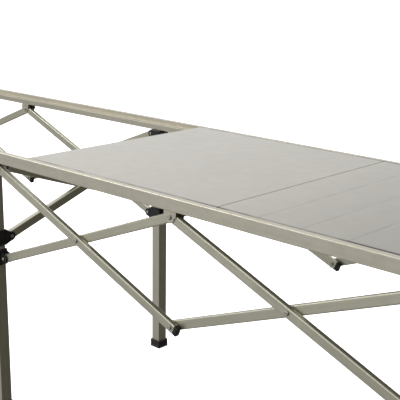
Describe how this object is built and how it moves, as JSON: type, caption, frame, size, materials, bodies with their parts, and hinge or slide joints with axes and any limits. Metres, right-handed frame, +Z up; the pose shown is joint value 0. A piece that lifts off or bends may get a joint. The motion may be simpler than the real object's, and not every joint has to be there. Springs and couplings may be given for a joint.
{
  "type": "folding scissor-frame stage riser platform",
  "caption": "Long folding platform: hollow deck panels resting in two rebated rails on square posts braced by concertina scissor arms with sliding collars.",
  "frame": {"origin": "on the floor under the middle of the frame, half way between the centre pair of posts", "axes": "+X along the rails towards the end that carries the deck panels, +Y from the front rail to the rear rail, +Z up"},
  "size_m": [3.506, 0.8, 0.914],
  "materials": {
    "anodised_aluminium": "satin champagne-grey anodised extrusion",
    "deck_aluminium": "smooth satin sheet with faint drawing lines",
    "mill_aluminium": "plain mill finish",
    "black_plastic": "moulded, fine grain",
    "zinc_steel": "bright zinc-plated rivets"
  },
  "bodies": {
    "centre_frame": {"rail_front_left": "anodised_aluminium", "rail_front_right": "anodised_aluminium", "rail_rear_left": "anodised_aluminium", "rail_rear_right": "anodised_aluminium", "rail_joiners": "mill_aluminium", "rail_end_caps": "black_plastic", "post_front_centre": "anodised_aluminium", "post_rear_centre": "anodised_aluminium", "feet_centre": "black_plastic", "top_brackets_centre": "black_plastic", "cross_sliders_centre": "black_plastic", "cross_arm_centre_front_high": "anodised_aluminium", "cross_arm_centre_rear_high": "anodised_aluminium", "pins_posts_centre": "zinc_steel"},
    "deck_inner": {"deck_panel_inner": "deck_aluminium"},
    "deck_outer": {"deck_panel_outer": "deck_aluminium"},
    "slider_centre": {"arm_sliders_centre": "black_plastic"},
    "high_arms_right": {"arm_front_bay3_falling": "anodised_aluminium", "arm_rear_bay3_falling": "anodised_aluminium", "pins_high_arms_right": "zinc_steel"},
    "low_arms_right": {"arm_front_bay3_rising": "anodised_aluminium", "arm_rear_bay3_rising": "anodised_aluminium", "pins_low_arms_right": "zinc_steel"},
    "outer_low_arms_right": {"arm_front_bay4_falling": "anodised_aluminium", "arm_rear_bay4_falling": "anodised_aluminium", "pins_outer_arms_right": "zinc_steel"},
    "outer_high_arms_right": {"arm_front_bay4_rising": "anodised_aluminium", "arm_rear_bay4_rising": "anodised_aluminium"},
    "end_frame_right": {"post_front_right": "anodised_aluminium", "post_rear_right": "anodised_aluminium", "feet_right": "black_plastic", "top_brackets_right": "black_plastic", "cross_sliders_right": "black_plastic", "cross_arm_right_front_high": "anodised_aluminium", "cross_arm_right_rear_high": "anodised_aluminium", "pins_posts_right": "zinc_steel"},
    "slider_right": {"arm_sliders_right": "black_plastic"},
    "hangers_right": {"hangers_right": "anodised_aluminium"},
    "high_arms_left": {"arm_front_bay2_rising": "anodised_aluminium", "arm_rear_bay2_rising": "anodised_aluminium", "pins_high_arms_left": "zinc_steel"},
    "low_arms_left": {"arm_front_bay2_falling": "anodised_aluminium", "arm_rear_bay2_falling": "anodised_aluminium", "pins_low_arms_left": "zinc_steel"},
    "outer_low_arms_left": {"arm_front_bay1_rising": "anodised_aluminium", "arm_rear_bay1_rising": "anodised_aluminium", "pins_outer_arms_left": "zinc_steel"},
    "outer_high_arms_left": {"arm_front_bay1_falling": "anodised_aluminium", "arm_rear_bay1_falling": "anodised_aluminium"},
    "end_frame_left": {"post_front_left": "anodised_aluminium", "post_rear_left": "anodised_aluminium", "feet_left": "black_plastic", "top_brackets_left": "black_plastic", "cross_sliders_left": "black_plastic", "cross_arm_left_front_high": "anodised_aluminium", "cross_arm_left_rear_high": "anodised_aluminium", "pins_posts_left": "zinc_steel"},
    "slider_left": {"arm_sliders_left": "black_plastic"},
    "hangers_left": {"hangers_left": "anodised_aluminium"}
  },
  "joints": [
    {"name": "fold", "type": "hinge", "parent": "centre_frame", "child": "high_arms_right", "pos_m": [0.042, 0, 0.857], "axis": [0, 1, 0], "range_deg": [0, 50]},
    {"name": "cross_inner_right", "type": "hinge", "parent": "high_arms_right", "child": "low_arms_right", "pos_m": [0.431, 0, 0.704], "axis": [0, 1, 0], "range_deg": [-100, 0]},
    {"name": "crest_right", "type": "hinge", "parent": "low_arms_right", "child": "outer_low_arms_right", "pos_m": [0.82, 0, 0.857], "axis": [0, 1, 0], "range_deg": [0, 100]},
    {"name": "cross_outer_right", "type": "hinge", "parent": "outer_low_arms_right", "child": "outer_high_arms_right", "pos_m": [1.209, 0, 0.704], "axis": [0, 1, 0], "range_deg": [-100, 0]},
    {"name": "end_frame_top_right", "type": "hinge", "parent": "outer_high_arms_right", "child": "end_frame_right", "pos_m": [1.598, 0, 0.857], "axis": [0, 1, 0], "range_deg": [0, 50]},
    {"name": "slider_low_right", "type": "hinge", "parent": "outer_low_arms_right", "child": "slider_right", "pos_m": [1.598, 0, 0.551], "axis": [0, 1, 0], "range_deg": [-50, 0]},
    {"name": "hanger_right", "type": "hinge", "parent": "low_arms_right", "child": "hangers_right", "pos_m": [0.82, 0, 0.857], "axis": [0, 1, 0], "range_deg": [0, 50]},
    {"name": "slider_low_centre", "type": "hinge", "parent": "low_arms_right", "child": "slider_centre", "pos_m": [0.042, 0, 0.551], "axis": [0, 1, 0], "range_deg": [0, 50]},
    {"name": "fold_left", "type": "hinge", "parent": "centre_frame", "child": "high_arms_left", "pos_m": [-0.042, 0, 0.857], "axis": [0, 1, 0], "range_deg": [-50, 0]},
    {"name": "cross_inner_left", "type": "hinge", "parent": "high_arms_left", "child": "low_arms_left", "pos_m": [-0.431, 0, 0.704], "axis": [0, 1, 0], "range_deg": [0, 100]},
    {"name": "crest_left", "type": "hinge", "parent": "low_arms_left", "child": "outer_low_arms_left", "pos_m": [-0.82, 0, 0.857], "axis": [0, 1, 0], "range_deg": [-100, 0]},
    {"name": "cross_outer_left", "type": "hinge", "parent": "outer_low_arms_left", "child": "outer_high_arms_left", "pos_m": [-1.209, 0, 0.704], "axis": [0, 1, 0], "range_deg": [0, 100]},
    {"name": "end_frame_top_left", "type": "hinge", "parent": "outer_high_arms_left", "child": "end_frame_left", "pos_m": [-1.598, 0, 0.857], "axis": [0, 1, 0], "range_deg": [-50, 0]},
    {"name": "slider_low_left", "type": "hinge", "parent": "outer_low_arms_left", "child": "slider_left", "pos_m": [-1.598, 0, 0.551], "axis": [0, 1, 0], "range_deg": [0, 50]},
    {"name": "hanger_left", "type": "hinge", "parent": "low_arms_left", "child": "hangers_left", "pos_m": [-0.82, 0, 0.857], "axis": [0, 1, 0], "range_deg": [-50, 0]},
    {"name": "lift_inner", "type": "slide", "parent": "centre_frame", "child": "deck_inner", "axis": [0, 0, 1], "range_m": [0, 0.25]},
    {"name": "lift_outer", "type": "slide", "parent": "centre_frame", "child": "deck_outer", "axis": [0, 0, 1], "range_m": [0, 0.25]}
  ],
  "couplings": [
    {"joint": "cross_inner_right", "follows": "fold", "ratio": -2},
    {"joint": "crest_right", "follows": "fold", "ratio": 2},
    {"joint": "cross_outer_right", "follows": "fold", "ratio": -2},
    {"joint": "end_frame_top_right", "follows": "fold", "ratio": 1},
    {"joint": "slider_low_right", "follows": "fold", "ratio": -1},
    {"joint": "hanger_right", "follows": "fold", "ratio": 1},
    {"joint": "slider_low_centre", "follows": "fold", "ratio": 1},
    {"joint": "fold_left", "follows": "fold", "ratio": -1},
    {"joint": "cross_inner_left", "follows": "fold", "ratio": 2},
    {"joint": "crest_left", "follows": "fold", "ratio": -2},
    {"joint": "cross_outer_left", "follows": "fold", "ratio": 2},
    {"joint": "end_frame_top_left", "follows": "fold", "ratio": -1},
    {"joint": "slider_low_left", "follows": "fold", "ratio": 1},
    {"joint": "hanger_left", "follows": "fold", "ratio": -1}
  ]
}
